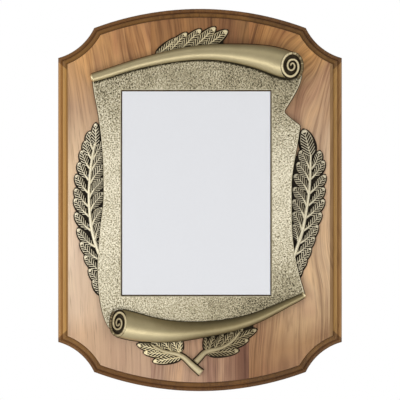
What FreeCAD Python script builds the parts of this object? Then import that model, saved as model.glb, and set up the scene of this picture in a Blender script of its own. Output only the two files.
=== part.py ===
"""Wall plaque: a walnut board with a cast scroll frame, four cast laurel pieces and an engraving plate.

Row frame: X to the right of someone facing the plaque, Z up, and Y from the front to the wall. The origin is
the centre of the board's flat back, which lies on the wall at Y = 0. Places on the plaque are written (x, z)
and heights h above the back face, so a point is Vector(x, -h, z). All sizes are in millimetres.
"""

import FreeCAD, Part

import math
import os

from FreeCAD import Vector

OUT = "parts"

# ---------------------------------------------------------------- driving dimensions
BOARD_HALF_WIDTH = 141.3
BOARD_HALF_HEIGHT = 190.5
BOARD_THICKNESS = 19.0
BOW_RADIUS = 301.3  # the curved top and bottom edges
SCALLOP_RADIUS = 56.0  # the hollowed corners
SCALLOP_CENTRE = (156.0, 195.6)
GLUE_LINE_X = 48.7  # the centre stave is between -x and +x

SHEET_THICKNESS = 5.0
SHEET_TOP = BOARD_THICKNESS + SHEET_THICKNESS
ROLL_SHOULDER = BOARD_THICKNESS + 3.0  # height where a roll's half-round section starts
ROLL_RELIEF = 0.9  # a roll's height above its shoulder, over its radius

WINDOW_CENTRE = (-3.7, 6.9)
WINDOW_WIDTH = 148.4
WINDOW_HEIGHT = 203.2
TRAY_FLOOR = BOARD_THICKNESS + 2.5
TRAY_SKIN = 1.0
PLATE_GAP = 0.8  # between the plate and the window, all round
PLATE_THICKNESS = 1.0
PLATE_BEVEL = 0.45
TAPE_THICKNESS = 0.8
TAPE_WIDTH = 12.0
TAPE_LENGTH = 184.0
TAPE_COUNT = 4

LAUREL_BASE_TOP = BOARD_THICKNESS + 2.0
LEAF_EDGE_TOP = BOARD_THICKNESS + 2.6
LEAF_CROWN_TOP = BOARD_THICKNESS + 3.8
STEM_TOP = BOARD_THICKNESS + 4.6
TUCK_CLEARANCE = 0.15  # over a laurel flange where it passes under the scroll

SCREW_SEAT = 6.4  # height of the underside of the head
WASHER_THICKNESS = 0.8
TAPPED_FIT = 0.05  # of a tapped hole's radius over its screw's
# Screws put in from the back: radius and length of the shank, radius and height of the head, radius of the
# washer, radius of the plain hole through the board and of its counterbore.
SCROLL_SCREW = {"r": 2.0, "length": 16.0, "head_r": 4.0, "head_h": 3.0,
                "washer_r": 4.7, "hole_r": 2.3, "bore_r": 5.2}
LAUREL_SCREW = {"r": 1.5, "length": 15.5, "head_r": 3.0, "head_h": 2.4,
                "washer_r": 3.6, "hole_r": 1.7, "bore_r": 4.1}
BOSS_RADIUS = 3.1
BOSS_TOP = BOARD_THICKNESS + 3.6

HANGER_CENTRE_Z = 153.0
HANGER_WIDTH = 16.0
HANGER_LENGTH = 44.0
HANGER_THICKNESS = 1.5
KEYHOLE_Z = 147.0  # centre of the round entry
KEYHOLE_RADIUS = 4.75
KEY_SLOT_Z = 159.0  # centre of the slot's round end
KEY_SLOT_RADIUS = 2.5
POCKET_RADIUS = 6.0
POCKET_DEPTH = 9.5
HANGER_SCREW_SPACING = 35.0
HANGER_SCREW_RADIUS = 1.5
HANGER_SCREW_HEAD_RADIUS = 3.1
HANGER_SCREW_LENGTH = 12.0

# Board edge, from the outer side inwards: (distance in from the outline, height). See board_profile().
EDGE_SIDE_TOP = 10.2
EDGE_BEAD_WIDTH = 2.7
EDGE_BEAD_TOP = 13.1
EDGE_QUIRK = (3.5, 12.8)
EDGE_QUIRK_TOP = (4.7, 14.7)
EDGE_OVOLO_MID = (5.5, 15.6)
EDGE_OVOLO_TOP = (7.3, 16.1)
EDGE_FILLET = (8.3, 16.2)
EDGE_FILLET_TOP = (9.3, 18.3)
EDGE_FIELD = (10.0, BOARD_THICKNESS)

# ---------------------------------------------------------------- outlines of the scroll, (x, z)
SHEET_LEFT = [(-106.2, 117), (-101.8, 90), (-97.6, 60), (-95.6, 20), (-96.4, -10), (-99.4, -35),
              (-101.4, -70), (-99.8, -95), (-96.6, -110), (-91, -125), (-84.5, -133)]
SHEET_CURL = [(100.4, 134), (101.2, 130), (98.6, 116), (91.1, 100), (84.6, 90.2)]
SHEET_NOTCH = [(84.6, 90.2), (83.8, 88), (85.2, 85.2)]
SHEET_RIGHT_CORNER = [(97.4, 76.4), (99.3, 74.2), (99.3, 71.5)]
SHEET_RIGHT = [(99.3, 71.5), (96, 50), (92.2, 30), (90.5, 0), (91.2, -30), (93.2, -52), (97.3, -70),
               (103.6, -91)]

# A roll is a list of stations along its centre line: (x, z, radius).
TOP_ROLL = [(-106.6, 119.3, 3.9), (-90, 125.6, 4.4), (-50, 137.6, 5.4), (-10, 145.0, 7.0), (10, 146.2, 7.9),
            (30, 145.4, 9.3), (50, 143.0, 11.4), (70, 138.8, 13.7), (81, 135.4, 14.5), (92, 132.2, 14.0)]
BOTTOM_ROLL = [(103.6, -93.6, 2.6), (90, -100.6, 3.6), (60, -114.7, 5.3), (30, -124.0, 6.8),
               (0, -128.5, 8.5), (-30, -130.0, 11.1), (-50, -128.0, 13.0), (-66, -125.0, 14.4),
               (-80, -121.6, 14.6)]

# The wound end of a roll: centre, half width and half height of its oval face, lean of the oval and start of
# its spiral in degrees, the heights of the slanting end face at its inner and outer rims, and the side the
# face looks to.
TOP_WINDING = {"centre": (90.3, 133.1), "half": (10.9, 13.9), "lean": -13.0, "start": -40,
               "high": 36.0, "low": 27.0, "side": 1}
BOTTOM_WINDING = {"centre": (-82.3, -121.9), "half": (9.6, 14.0), "lean": -13.0, "start": 140,
                  "high": 36.0, "low": 28.0, "side": -1}
WINDING_TURNS = 2.35
GROOVE_START = 0.84  # size of the groove's first and last turns, as a share of the oval
GROOVE_END = 0.16
GROOVE_WIDTH = 2.0
GROOVE_DEPTH = 2.2

# ---------------------------------------------------------------- laurel: stems and leaf tips, (x, z)
LEFT_STEM = [(-97, -92), (-98.6, -65), (-103, -47), (-109, -28), (-111, 0), (-110.3, 20), (-107.4, 40),
             (-102.6, 58)]
LEFT_OUTER_TIPS = [(-109.6, 68.6), (-113.9, 58.6), (-118.2, 49.4), (-120.6, 37.6), (-123.2, 26.0),
                   (-124.2, 12.4), (-124.2, 0.8), (-122.4, -12.2), (-120.6, -28), (-118, -42), (-113.8, -56),
                   (-109.4, -69), (-105.6, -79)]
LEFT_INNER_TIPS = [(-98.6, 50), (-97.6, 41), (-97.4, 31), (-96.8, 19), (-97, 6), (-98, -8)]
LEFT_TERMINAL = ((-103.0, 56.0), (-103.2, 75.4), 8.0)
RIGHT_STEM = [(90, -74), (95, -50), (103, -22), (107.4, 4), (109.2, 24), (109.6, 46)]
RIGHT_OUTER_TIPS = [(118.6, 49.6), (122.6, 39.4), (123.8, 26.4), (122.8, 14.6), (123.2, 2.2),
                    (120, -12.4), (117.6, -24.4), (114, -36.4), (110, -47.4), (105.8, -56.4), (101.5, -63)]
RIGHT_INNER_TIPS = [(101, 47), (98, 36), (96, 24), (95, 10), (94, -1), (93, -15)]
RIGHT_TERMINAL = ((109.4, 46.0), (104.2, 68.8), 15.0)
SIDE_LEAF_WIDTH = 7.0
INNER_LEAF_WIDTH = 5.5
SIDE_LEAF_DROP = 13.0  # how far below its tip a side leaf leaves the stem
TIP_OVERHANG = 4.5  # of a side leaf's tip past its base plate
TUCK_DEPTH = 5.0  # how far a laurel piece's plate reaches under the scroll
MIN_PIECE = 8.0  # mm3; smaller trimmings of leaves are dropped

# Leaves of the top and bottom pieces: (base, tip, width).
TOP_LEAVES = [((-38, 147.5), (-21.5, 160.5), 6.5), ((-30, 150), (-11.5, 165), 8.0),
              ((-19, 153), (0, 168.6), 8.5), ((-7, 155), (15.6, 170.4), 10.0), ((3, 153), (27, 166.5), 11.5)]
FOOT_LEFT_STEM = [(1.6, -170.4), (-12, -159.6), (-20, -154.6), (-31, -151.4), (-41, -149), (-51, -141)]
FOOT_LEFT_LEAVES = [((-24, -156.2), (-47.8, -158.4), 7.0), ((-38, -151.4), (-57, -149.6), 7.5),
                    ((-42, -148), (-62.4, -142.4), 6.5), ((-36, -149.6), (-37.5, -138), 7.0),
                    ((-20, -153), (-30, -139.5), 6.5), ((-19.6, -152), (-21.8, -138), 5.0)]
FOOT_RIGHT_STEM = [(-8, -163), (-1, -157), (6.4, -150.6), (18, -145), (29, -141.4), (36.5, -133.6),
                   (41, -127.6)]
FOOT_RIGHT_LEAVES = [((7, -153.6), (38.4, -148.6), 7.5), ((27, -142.6), (48.8, -137.6), 7.5),
                     ((35, -137), (56.2, -127.2), 7.0), ((6.6, -150), (7, -135), 5.0),
                     ((8.6, -149), (18, -133.5), 6.0), ((19, -144.6), (22.4, -131), 6.0),
                     ((21, -143.8), (34, -130.5), 6.0)]
FOOT_STEM_WIDTHS = (6.4, 2.2)
SIDE_STEM_WIDTHS = (3.4, 1.9)

# Base plates of the top and bottom pieces: the free edge, then the edge tucked under the roll.
TOP_BASE = ([(-37, 146), (-26, 152.5), (-14, 160), (0, 164.5), (12, 166), (24, 161)],
            [(24, 149), (0, 148), (-20, 145), (-37, 140.5)])
FOOT_LEFT_BASE = ([(-60, -143.6), (-52, -151), (-42, -157), (-30, -156.6), (-18, -156.6)],
                  [(-18, -135), (-30, -136), (-45, -136.4), (-60, -135.4)])
FOOT_RIGHT_BASE = ([(2, -154.6), (14, -152.4), (32, -150.6), (44, -141), (53, -130)],
                   [(53, -118.5), (38, -123.5), (20, -128), (2, -131.6)])

# ---------------------------------------------------------------- fastener places, (x, z)
SCROLL_SCREWS = [(-88, 114), (84, 108), (-86, 2), (80, 2), (-88, -98), (86, -84)]
LAUREL_SCREWS = {
    "left": [(-110, 24), (-109.4, -25)],
    "right": [(108.4, 14), (102.8, -23)],
    "top": [(-16.5, 158.4), (10, 160.6)],
    "bottom": [(-34, -151.6), (22, -145)],
}


# ---------------------------------------------------------------- small helpers
def at(x, z, h):
    """A point over the place (x, z), at height h above the back face."""
    return Vector(x, -h, z)


def rod(place, radius, low, high):
    """A round rod square to the board, between two heights."""
    return Part.makeCylinder(radius, high - low, at(place[0], place[1], low), Vector(0, -1, 0))


def block(centre, width, height, low, high):
    """A rectangular block, width along X and height along Z, between two heights."""
    corner = at(centre[0] - width / 2, centre[1] - height / 2, high)
    return Part.makeBox(width, high - low, height, corner)


def spline(places, h):
    """A smooth edge through places, at height h."""
    curve = Part.BSplineCurve()
    curve.interpolate([at(x, z, h) for x, z in places])
    return curve.toShape()


def line(a, b, h):
    return Part.makeLine(at(*a, h), at(*b, h))


def arc(a, middle, b, h):
    return Part.Arc(at(*a, h), at(*middle, h), at(*b, h)).toShape()


def raised(edges, low, high):
    """The solid whose outline is these edges, drawn at height low, up to height high."""
    face = Part.Face(Part.Wire(edges))
    return face.extrude(Vector(0, low - high, 0))


def along(points, share):
    """The place and the unit direction at a share of the way along a smooth line through points."""
    curve = Part.BSplineCurve()
    curve.interpolate([at(x, z, 0) for x, z in points])
    t = curve.FirstParameter + share * (curve.LastParameter - curve.FirstParameter)
    p, d = curve.value(t), curve.tangent(t)[0]
    return (p.x, p.z), (d.x, d.z)


def tapped_hole(place, size):
    """The hole in a casting for one screw."""
    return rod(place, size["r"] + TAPPED_FIT, 0, SCREW_SEAT + size["length"] + 0.2)


def largest(shape):
    return max(shape.Solids, key=lambda s: s.Volume)


def save(name, shape):
    """Writes one node, after a check that it is sound."""
    if not shape.isValid() or shape.Volume <= 0:
        raise ValueError(f"{name} isn't a valid solid")
    shape.exportStep(os.path.join(OUT, name + ".step"))
    print(f"{name}: {len(shape.Solids)} solid(s), {shape.Volume / 1000:.2f} cm3")


# ---------------------------------------------------------------- board
def board_profile(place):
    """The moulding's edges, from the back face to the field. place(u, h) puts a profile point in space."""

    def straight(a, b):
        return Part.makeLine(place(*a), place(*b))

    def bend(a, middle, b):
        return Part.Arc(place(*a), place(*middle), place(*b)).toShape()

    bead_end = (EDGE_BEAD_WIDTH, EDGE_BEAD_TOP)
    bead_mid = (EDGE_BEAD_WIDTH * 0.3, EDGE_SIDE_TOP + (EDGE_BEAD_TOP - EDGE_SIDE_TOP) * 0.72)
    return [
        straight((0, 0), (0, EDGE_SIDE_TOP)),
        bend((0, EDGE_SIDE_TOP), bead_mid, bead_end),
        straight(bead_end, EDGE_QUIRK),
        straight(EDGE_QUIRK, EDGE_QUIRK_TOP),
        bend(EDGE_QUIRK_TOP, EDGE_OVOLO_MID, EDGE_OVOLO_TOP),
        straight(EDGE_OVOLO_TOP, EDGE_FILLET),
        straight(EDGE_FILLET, EDGE_FILLET_TOP),
        straight(EDGE_FILLET_TOP, EDGE_FIELD),
    ]


def straight_sided_slab():
    """A long slab with the moulding on both sides."""
    reach = 2 * BOARD_HALF_HEIGHT
    right = board_profile(lambda u, h: at(BOARD_HALF_WIDTH - u, -reach / 2, h))
    left = board_profile(lambda u, h: at(u - BOARD_HALF_WIDTH, -reach / 2, h))
    field = BOARD_HALF_WIDTH - EDGE_FIELD[0]
    top = Part.makeLine(at(field, -reach / 2, BOARD_THICKNESS), at(-field, -reach / 2, BOARD_THICKNESS))
    base = Part.makeLine(at(-BOARD_HALF_WIDTH, -reach / 2, 0), at(BOARD_HALF_WIDTH, -reach / 2, 0))
    wire = Part.Wire(Part.__sortEdges__(right + left + [top, base]))
    return Part.Face(wire).extrude(Vector(0, 0, reach))


def bowed_disc(side):
    """A disc with the moulded rim of the top (side 1) or bottom (side -1) edge."""
    centre = side * (BOARD_HALF_HEIGHT - BOW_RADIUS)
    rim = board_profile(lambda u, h: at(BOW_RADIUS - u, centre, h))
    hub_front, hub_back = at(0, centre, BOARD_THICKNESS), at(0, centre, 0)
    closing = [
        Part.makeLine(at(BOW_RADIUS - EDGE_FIELD[0], centre, BOARD_THICKNESS), hub_front),
        Part.makeLine(hub_front, hub_back),
        Part.makeLine(hub_back, at(BOW_RADIUS, centre, 0)),
    ]
    face = Part.Face(Part.Wire(Part.__sortEdges__(rim + closing)))
    return face.revolve(hub_back, Vector(0, 1, 0), 360)


def scallop_cutter(side_x, side_z):
    """The round cutter that hollows one corner and leaves the moulding there."""
    spare = 1.0
    x, z = side_x * SCALLOP_CENTRE[0], side_z * SCALLOP_CENTRE[1]
    rim = board_profile(lambda u, h: at(x + side_x * (SCALLOP_RADIUS + u), z, h))
    back, front = x + side_x * SCALLOP_RADIUS, x + side_x * (SCALLOP_RADIUS + EDGE_FIELD[0])
    above = BOARD_THICKNESS + spare
    corners = [at(front, z, BOARD_THICKNESS), at(front, z, above), at(x, z, above),
               at(x, z, -spare), at(back, z, -spare), at(back, z, 0)]
    closing = [Part.makeLine(a, b) for a, b in zip(corners, corners[1:])]
    face = Part.Face(Part.Wire(Part.__sortEdges__(rim + closing)))
    return face.revolve(at(x, z, 0), Vector(0, 1, 0), 360)


def keyhole(low, high, entry_radius, slot_radius):
    """The keyhole's shape between two heights: a round entry below and a narrower slot up from it."""
    slot_height = KEY_SLOT_Z - KEYHOLE_Z
    slot = block((0, KEYHOLE_Z + slot_height / 2), 2 * slot_radius, slot_height, low, high)
    ends = [rod((0, KEYHOLE_Z), entry_radius, low, high), rod((0, KEY_SLOT_Z), slot_radius, low, high)]
    return slot.multiFuse(ends).removeSplitter()


def hanger_screw_places():
    return [(0, HANGER_CENTRE_Z + side * HANGER_SCREW_SPACING / 2) for side in (-1, 1)]


def board():
    """The whole board with its moulding, screw holes and hanger pocket, before it is cut into staves."""
    shape = straight_sided_slab().common(bowed_disc(1)).common(bowed_disc(-1))
    cutters = [scallop_cutter(sx, sz) for sx in (-1, 1) for sz in (-1, 1)]
    for size, places in ((SCROLL_SCREW, SCROLL_SCREWS), (LAUREL_SCREW, sum(LAUREL_SCREWS.values(), []))):
        for place in places:
            cutters.append(rod(place, size["bore_r"], -1, SCREW_SEAT + WASHER_THICKNESS))
            cutters.append(rod(place, size["hole_r"], 0, BOARD_THICKNESS + 1))
    recess_fit = 0.2
    recess = (HANGER_WIDTH + recess_fit, HANGER_LENGTH + recess_fit)
    cutters.append(block((0, HANGER_CENTRE_Z), *recess, -1, HANGER_THICKNESS))
    cutters.append(keyhole(0, POCKET_DEPTH, POCKET_RADIUS, POCKET_RADIUS))
    pilot_fit = 0.05
    for place in hanger_screw_places():
        cutters.append(rod(place, HANGER_SCREW_RADIUS + pilot_fit, 0, HANGER_SCREW_LENGTH + 0.5))
    for cutter in cutters:
        shape = shape.cut(cutter)
    return shape


def staves(whole):
    """The three edge-glued staves, {name: solid}."""
    reach = 2 * BOARD_HALF_HEIGHT + 20
    side_width = BOARD_HALF_WIDTH + 10 - GLUE_LINE_X
    side_x = GLUE_LINE_X + side_width / 2
    spans = {
        "board_stave_left": ((-side_x, 0), side_width),
        "board_stave_centre": ((0, 0), 2 * GLUE_LINE_X),
        "board_stave_right": ((side_x, 0), side_width),
    }
    staves_cut = {}
    for name, (centre, width) in spans.items():
        staves_cut[name] = largest(whole.common(block(centre, width, reach, -1, BOARD_THICKNESS + 1)))
    return staves_cut


# ---------------------------------------------------------------- scroll frame
def sheet():
    """The flat sheet of the scroll, before its window is cut."""
    h = BOARD_THICKNESS
    top, foot = [(x, z) for x, z, _ in TOP_ROLL], [(x, z) for x, z, _ in BOTTOM_ROLL]
    edges = [
        spline(SHEET_LEFT, h),
        line(SHEET_LEFT[-1], foot[-1], h),
        spline(foot, h),
        line(foot[0], SHEET_RIGHT[-1], h),
        spline(SHEET_RIGHT, h),
        arc(*SHEET_RIGHT_CORNER, h),
        line(SHEET_RIGHT_CORNER[0], SHEET_NOTCH[-1], h),
        arc(*SHEET_NOTCH, h),
        spline(SHEET_CURL, h),
        line(SHEET_CURL[0], top[-1], h),
        spline(top, h),
        line(top[0], SHEET_LEFT[0], h),
    ]
    return raised(Part.__sortEdges__(edges), h, SHEET_TOP)


def roll(stations):
    """A tapering half-round roll along its stations, standing on the board."""
    places = [(x, z) for x, z, _ in stations]
    curve = Part.BSplineCurve()
    curve.interpolate([at(x, z, 0) for x, z in places])
    sections = []
    for x, z, radius in stations:
        d = curve.tangent(curve.parameter(at(x, z, 0)))[0]
        nx, nz = -d.z, d.x

        def point(across, h):
            return at(x + nx * across, z + nz * across, h)

        crown = ROLL_SHOULDER + ROLL_RELIEF * radius
        quarter = ROLL_SHOULDER + ROLL_RELIEF * radius * math.sin(math.radians(50))
        side = radius * math.cos(math.radians(50))
        half_round = Part.BSplineCurve()
        half_round.interpolate([point(-radius, ROLL_SHOULDER), point(-side, quarter), point(0, crown),
                                point(side, quarter), point(radius, ROLL_SHOULDER)],
                               InitialTangent=Vector(0, -1, 0), FinalTangent=Vector(0, 1, 0))
        edges = [
            Part.makeLine(point(-radius, BOARD_THICKNESS), point(-radius, ROLL_SHOULDER)),
            half_round.toShape(),
            Part.makeLine(point(radius, ROLL_SHOULDER), point(radius, BOARD_THICKNESS)),
            Part.makeLine(point(radius, BOARD_THICKNESS), point(-radius, BOARD_THICKNESS)),
        ]
        sections.append(Part.Wire(edges))
    return Part.makeLoft(sections, True, False)


def oval_rod(winding):
    """An upright rod with the oval outline of a roll's wound end."""
    (x, z), (minor, major) = winding["centre"], winding["half"]
    h = BOARD_THICKNESS
    ellipse = Part.Ellipse(at(x, z + major, h), at(x + minor, z, h), at(x, z, h))
    shape = Part.Face(Part.Wire(ellipse.toShape())).extrude(Vector(0, -30, 0))
    shape.rotate(at(x, z, 0), Vector(0, 1, 0), -winding["lean"])
    return shape


def above_slant(winding, sink):
    """Everything in front of the slanting end face, lowered by sink."""
    x, z = winding["centre"]
    half, side = winding["half"][0], winding["side"]
    slope = (winding["high"] - winding["low"]) / (2 * half)
    reach, tall = 22.0, 40.0

    def height(dx):
        return (winding["high"] + winding["low"]) / 2 - slope * dx * side - sink

    corners = [(-reach, height(-reach)), (reach, height(reach)),
               (reach, height(reach) + tall), (-reach, height(-reach) + tall)]
    points = [at(x + dx, z - reach, h) for dx, h in corners]
    wire = Part.makePolygon(points + points[:1])
    return Part.Face(wire).extrude(Vector(0, 0, 2 * reach))


def winding_groove(winding):
    """The spiral groove between the turns of the wound sheet, cut into the end face."""
    (x, z), (half_x, half_z) = winding["centre"], winding["half"]
    lean = math.radians(winding["lean"])
    start = math.radians(winding["start"])
    steps = 40

    def place(turn, inset):
        size = GROOVE_START - (GROOVE_START - GROOVE_END) * turn / (2 * math.pi * WINDING_TURNS)
        a = start + turn
        u, v = (half_x * size - inset) * math.cos(a), (half_z * size - inset) * math.sin(a)
        return (x + u * math.cos(lean) - v * math.sin(lean), z + u * math.sin(lean) + v * math.cos(lean))

    turns = [2 * math.pi * WINDING_TURNS * i / steps for i in range(steps + 1)]
    outer = [place(t, 0.0) for t in turns]
    inner = [place(t, GROOVE_WIDTH * (1 - 0.5 * t / turns[-1])) for t in turns]
    h = BOARD_THICKNESS
    edges = [spline(outer, h), line(outer[-1], inner[-1], h), spline(inner, h), line(inner[0], outer[0], h)]
    return raised(Part.__sortEdges__(edges), h, h + 30).common(above_slant(winding, GROOVE_DEPTH))


def wound_roll(stations, winding):
    """A roll with its slanting, spirally wound end."""
    body = roll(stations).fuse(oval_rod(winding))
    return body.cut(above_slant(winding, 0.0)).cut(winding_groove(winding))


def scroll_frame(scroll_solids, laurel_rooms):
    """The scroll casting: sheet, rolls, plate tray, tapped holes and room for the laurel pieces' plates."""
    shape = scroll_solids[0].fuse(scroll_solids[1]).fuse(scroll_solids[2])
    shape = shape.cut(block(WINDOW_CENTRE, WINDOW_WIDTH, WINDOW_HEIGHT, TRAY_FLOOR, SHEET_TOP + 20))
    back_wall = 2.0
    behind = (WINDOW_WIDTH - back_wall, WINDOW_HEIGHT - back_wall)
    shape = shape.cut(block(WINDOW_CENTRE, *behind, 0, TRAY_FLOOR - TRAY_SKIN))
    for place in SCROLL_SCREWS:
        shape = shape.cut(tapped_hole(place, SCROLL_SCREW))
    for room in laurel_rooms:
        shape = shape.cut(room)
    return shape


# ---------------------------------------------------------------- laurel
def lens(base, tip, width, h, shrink=0.0):
    """The outline of a leaf at height h: two arcs from its base to its tip."""
    dx, dz = tip[0] - base[0], tip[1] - base[1]
    length = math.hypot(dx, dz)
    ux, uz = dx / length, dz / length
    a = (base[0] + ux * shrink, base[1] + uz * shrink)
    b = (tip[0] - ux * shrink, tip[1] - uz * shrink)
    mid = (base[0] + dx * 0.55, base[1] + dz * 0.55)
    half = width / 2 - shrink * 0.5
    left = (mid[0] - uz * half, mid[1] + ux * half)
    right = (mid[0] + uz * half, mid[1] - ux * half)
    return Part.Wire([arc(a, left, b, h), arc(b, right, a, h)])


def leaf(base, tip, width):
    """A leaf with an upright edge and a bevelled crown."""
    foot = lens(base, tip, width, BOARD_THICKNESS)
    edge = Part.Face(foot).extrude(Vector(0, BOARD_THICKNESS - LEAF_EDGE_TOP, 0))
    crown = Part.makeLoft([lens(base, tip, width, LEAF_EDGE_TOP),
                           lens(base, tip, width, LEAF_CROWN_TOP, shrink=width * 0.3)], True, True)
    return edge.fuse(crown)


def stem(points, widths):
    """A stem that tapers along a smooth line through points."""
    steps = 7
    left, right = [], []
    for i in range(steps):
        share = i / (steps - 1)
        (x, z), (dx, dz) = along(points, share)
        half = (widths[0] + (widths[1] - widths[0]) * share) / 2
        left.append((x - dz * half, z + dx * half))
        right.append((x + dz * half, z - dx * half))
    h = BOARD_THICKNESS
    edges = [spline(left, h), line(left[-1], right[-1], h), spline(right, h), line(right[0], left[0], h)]
    return raised(Part.__sortEdges__(edges), h, STEM_TOP)


def place_on_stem(points, z):
    """The place on an upright stem at height z, kept to the stem's own span."""
    best = min((abs(along(points, i / 60)[0][1] - z), i) for i in range(61))[1]
    return along(points, best / 60)[0]


def side_leaves(stem_points, outer_tips, inner_tips, terminal):
    """[(base, tip, width)] for a side spray: leaves on both sides of the stem, and the leaf at its top."""
    leaves = [terminal]
    for tips, width in ((outer_tips, SIDE_LEAF_WIDTH), (inner_tips, INNER_LEAF_WIDTH)):
        leaves += [(place_on_stem(stem_points, tip[1] - SIDE_LEAF_DROP), tip, width) for tip in tips]
    return leaves


def base_plate(outer, inner, top=LAUREL_BASE_TOP):
    """The plate that joins the leaves of one casting. inner is the edge tucked under the scroll."""
    h = BOARD_THICKNESS
    edges = [spline(outer, h), line(outer[-1], inner[0], h), spline(inner, h), line(inner[-1], outer[0], h)]
    return raised(edges, h, top)


def side_base(stem_points, tips, sheet_edge, side):
    """Outer and inner edges of a side spray's base plate, from its top down and back up."""
    outer = [(stem_points[-1][0] + side * 2, stem_points[-1][1] + 6)]
    outer += [(x - side * TIP_OVERHANG, z - 1.5) for x, z in tips]
    inner = sorted(((x - side * TUCK_DEPTH, z) for x, z in sheet_edge), key=lambda place: place[1])
    return outer, inner


def laurel(leaves, stems, plates, screws, scroll_solids):
    """One laurel casting, and the room its plates need under the scroll. The leaves and stems stop at the
    scroll; only the plates pass under it."""
    bosses = [rod(place, BOSS_RADIUS, BOARD_THICKNESS, BOSS_TOP) for place in screws]
    work = leaf(*leaves[0]).multiFuse([leaf(*each) for each in leaves[1:]] + stems + bosses)
    for each in scroll_solids:
        work = work.cut(each)
    pieces = [s for s in work.Solids if s.Volume > MIN_PIECE]
    shape = base_plate(*plates[0]).multiFuse([base_plate(*each) for each in plates[1:]] + pieces)
    for place in screws:
        shape = shape.cut(tapped_hole(place, LAUREL_SCREW))
    return shape, [base_plate(*each, LAUREL_BASE_TOP + TUCK_CLEARANCE) for each in plates]


def laurel_castings(scroll_solids):
    """{name: (solid, room)} of the four laurel castings."""
    left_edge = [p for p in SHEET_LEFT if -82 < p[1] < 70]
    right_edge = [p for p in SHEET_RIGHT if -60 < p[1] < 60]
    side_stems = [stem(points, SIDE_STEM_WIDTHS) for points in (LEFT_STEM, RIGHT_STEM)]
    foot_stems = [stem(points, FOOT_STEM_WIDTHS) for points in (FOOT_LEFT_STEM, FOOT_RIGHT_STEM)]
    left_leaves = side_leaves(LEFT_STEM, LEFT_OUTER_TIPS, LEFT_INNER_TIPS, LEFT_TERMINAL)
    right_leaves = side_leaves(RIGHT_STEM, RIGHT_OUTER_TIPS, RIGHT_INNER_TIPS, RIGHT_TERMINAL)
    left_base = side_base(LEFT_STEM, LEFT_OUTER_TIPS, left_edge, -1)
    right_base = side_base(RIGHT_STEM, RIGHT_OUTER_TIPS, right_edge, 1)
    foot_leaves = FOOT_LEFT_LEAVES + FOOT_RIGHT_LEAVES
    foot_bases = [FOOT_LEFT_BASE, FOOT_RIGHT_BASE]
    contents = {
        "laurel_spray_left": (left_leaves, side_stems[:1], [left_base], LAUREL_SCREWS["left"]),
        "laurel_spray_right": (right_leaves, side_stems[1:], [right_base], LAUREL_SCREWS["right"]),
        "laurel_sprig_top": (TOP_LEAVES, [], [TOP_BASE], LAUREL_SCREWS["top"]),
        "laurel_stems_bottom": (foot_leaves, foot_stems, foot_bases, LAUREL_SCREWS["bottom"]),
    }
    return {name: laurel(*parts, scroll_solids) for name, parts in contents.items()}


# ---------------------------------------------------------------- plate, tape, fasteners, hanger
def engraving_plate():
    low = TRAY_FLOOR + TAPE_THICKNESS
    high = low + PLATE_THICKNESS
    plate = block(WINDOW_CENTRE, WINDOW_WIDTH - 2 * PLATE_GAP, WINDOW_HEIGHT - 2 * PLATE_GAP, low, high)
    front = [e for e in plate.Edges if all(abs(v.Y + high) < 1e-6 for v in e.Vertexes)]
    return plate.makeChamfer(PLATE_BEVEL, front)


def plate_tape():
    """Upright strips of double-sided tape, spread evenly behind the plate."""
    pitch = (WINDOW_WIDTH - 2 * PLATE_GAP - TAPE_WIDTH - 8) / (TAPE_COUNT - 1)
    first = WINDOW_CENTRE[0] - pitch * (TAPE_COUNT - 1) / 2
    top = TRAY_FLOOR + TAPE_THICKNESS
    places = [(first + i * pitch, WINDOW_CENTRE[1]) for i in range(TAPE_COUNT)]
    return Part.makeCompound([block(place, TAPE_WIDTH, TAPE_LENGTH, TRAY_FLOOR, top) for place in places])


def cross_recess(place, low, depth, span):
    """A cross-shaped driver recess, open towards the back."""
    arm = span * 0.3
    bars = block(place, span, arm, low - 1, low + depth).fuse(block(place, arm, span, low - 1, low + depth))
    return bars


def machine_screw(place, size):
    """A pan-head screw put in from the back. Its thread is drawn as a plain shank."""
    head_low = SCREW_SEAT - size["head_h"]
    head = rod(place, size["head_r"], head_low, SCREW_SEAT)
    rim = [e for e in head.Edges if e.Closed and abs(e.Vertexes[0].Y + head_low) < 1e-6]
    head = head.makeFillet(size["head_h"] * 0.4, rim)
    shank = rod(place, size["r"], SCREW_SEAT, SCREW_SEAT + size["length"])
    return head.fuse(shank).cut(cross_recess(place, head_low, size["head_h"] * 0.6, size["head_r"] * 1.1))


def washer(place, size):
    low, high = SCREW_SEAT, SCREW_SEAT + WASHER_THICKNESS
    return rod(place, size["washer_r"], low, high).cut(rod(place, size["hole_r"], low - 1, high + 1))


def hanger_countersink(place, spare=0.0):
    """The cone of a countersunk hanger screw, its wide end at the back face."""
    return Part.makeCone(HANGER_SCREW_HEAD_RADIUS + spare, HANGER_SCREW_RADIUS + spare, HANGER_THICKNESS,
                         at(place[0], place[1], 0), Vector(0, -1, 0))


def keyhole_hanger():
    """The steel keyhole plate, let in flush with the back of the board."""
    plate = block((0, HANGER_CENTRE_Z), HANGER_WIDTH, HANGER_LENGTH, 0, HANGER_THICKNESS)
    corners = [e for e in plate.Edges if abs(e.Vertexes[0].X - e.Vertexes[1].X) < 1e-6
               and abs(e.Vertexes[0].Z - e.Vertexes[1].Z) < 1e-6]
    plate = plate.makeFillet(3.0, corners)
    plate = plate.cut(keyhole(-1, HANGER_THICKNESS + 1, KEYHOLE_RADIUS, KEY_SLOT_RADIUS))
    for place in hanger_screw_places():
        plate = plate.cut(hanger_countersink(place, 0.05))
    return plate


def hanger_screw(place):
    head = hanger_countersink(place)
    shank = rod(place, HANGER_SCREW_RADIUS, HANGER_THICKNESS, HANGER_SCREW_LENGTH)
    return head.fuse(shank).cut(cross_recess(place, 0, 0.9, 3.2))


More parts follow.
